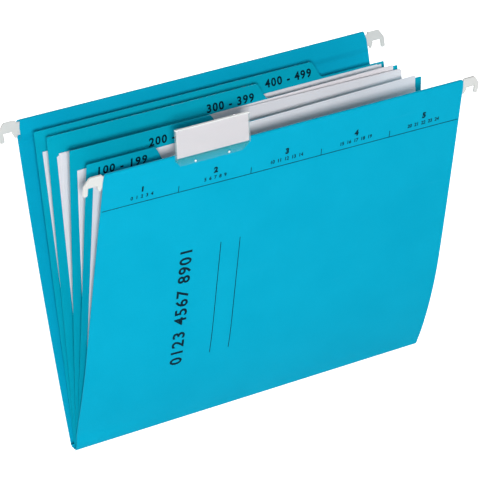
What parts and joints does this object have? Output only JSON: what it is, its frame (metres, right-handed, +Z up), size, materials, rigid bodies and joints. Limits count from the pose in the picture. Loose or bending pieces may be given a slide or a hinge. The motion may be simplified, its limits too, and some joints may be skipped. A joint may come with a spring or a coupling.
{
  "type": "hanging personnel file",
  "caption": "Hanging file of blue card with hemmed steel rails and plastic hooks, stepped index leaves, loose sheets between them and a clear index rider on the front edge.",
  "frame": {"origin": "midpoint of the four hook seats, in the plane of the drawer rails", "axes": "+X along the file to the right seen from its front, +Y from the front cover to the rear cover, +Z up"},
  "size_m": [0.3432, 0.1312, 0.265],
  "materials": {
    "cover_card": "dyed smooth card",
    "leaf_card": "dyed smooth card",
    "rail_steel": "bright rolled strip",
    "hook_plastic": "satin moulded white",
    "clear_plastic": "clear extruded",
    "label_paper": "plain white card",
    "binding_paper": "kraft strip",
    "sheet_paper": "plain white sheets"
  },
  "bodies": {
    "rear_side": {"rear_panel": "cover_card", "rear_rail": "rail_steel", "rear_hook_left": "hook_plastic", "rear_hook_right": "hook_plastic", "base_gusset": "cover_card", "divider_binding": "binding_paper"},
    "leaf_4": {"divider_4": "leaf_card"},
    "leaf_3": {"divider_3": "leaf_card"},
    "leaf_2": {"divider_2": "leaf_card"},
    "leaf_1": {"divider_1": "leaf_card"},
    "front_side": {"front_panel": "cover_card", "front_rail": "rail_steel", "front_hook_left": "hook_plastic", "front_hook_right": "hook_plastic"},
    "rider": {"label_holder": "clear_plastic"},
    "label": {"label_card": "label_paper"},
    "sheets_4": {"documents_4": "sheet_paper"},
    "sheets_3_rear": {"documents_3_rear": "sheet_paper"},
    "sheets_3_front": {"documents_3_front": "sheet_paper"},
    "sheets_2": {"documents_2": "sheet_paper"},
    "sheets_1": {"documents_1": "sheet_paper"}
  },
  "joints": [
    {"name": "leaf_4_turn", "type": "hinge", "parent": "rear_side", "child": "leaf_4", "pos_m": [0, 0, -0.23361], "axis": [1, 0, 0], "range_deg": [-4.3, 18]},
    {"name": "leaf_3_turn", "type": "hinge", "parent": "leaf_4", "child": "leaf_3", "pos_m": [0, 0, -0.23361], "axis": [1, 0, 0], "range_deg": [-4, 18]},
    {"name": "leaf_2_turn", "type": "hinge", "parent": "leaf_3", "child": "leaf_2", "pos_m": [0, 0, -0.23361], "axis": [1, 0, 0], "range_deg": [-5, 18]},
    {"name": "leaf_1_turn", "type": "hinge", "parent": "leaf_2", "child": "leaf_1", "pos_m": [0, 0, -0.23361], "axis": [1, 0, 0], "range_deg": [-5, 18]},
    {"name": "front_turn", "type": "hinge", "parent": "leaf_1", "child": "front_side", "pos_m": [0, 0, -0.23361], "axis": [1, 0, 0], "range_deg": [-4, 24]},
    {"name": "rider_slide", "type": "slide", "parent": "front_side", "child": "rider", "axis": [1, 0, 0], "range_m": [-0.057, 0.188]},
    {"name": "label_slide", "type": "slide", "parent": "rider", "child": "label", "axis": [1, 0, 0], "range_m": [0, 0.062]},
    {"name": "sheets_4_lift", "type": "slide", "parent": "leaf_4", "child": "sheets_4", "axis": [0, 0.1547, 0.988], "range_m": [0, 0.2]},
    {"name": "sheets_3_rear_lift", "type": "slide", "parent": "leaf_3", "child": "sheets_3_rear", "axis": [0, 0.0802, 0.9968], "range_m": [0, 0.2]},
    {"name": "sheets_3_front_lift", "type": "slide", "parent": "leaf_3", "child": "sheets_3_front", "axis": [0, 0.0436, 0.999], "range_m": [0, 0.2]},
    {"name": "sheets_2_lift", "type": "slide", "parent": "leaf_2", "child": "sheets_2", "axis": [0, -0.0506, 0.9987], "range_m": [0, 0.2]},
    {"name": "sheets_1_lift", "type": "slide", "parent": "leaf_1", "child": "sheets_1", "axis": [0, -0.1444, 0.9895], "range_m": [0, 0.2]}
  ]
}
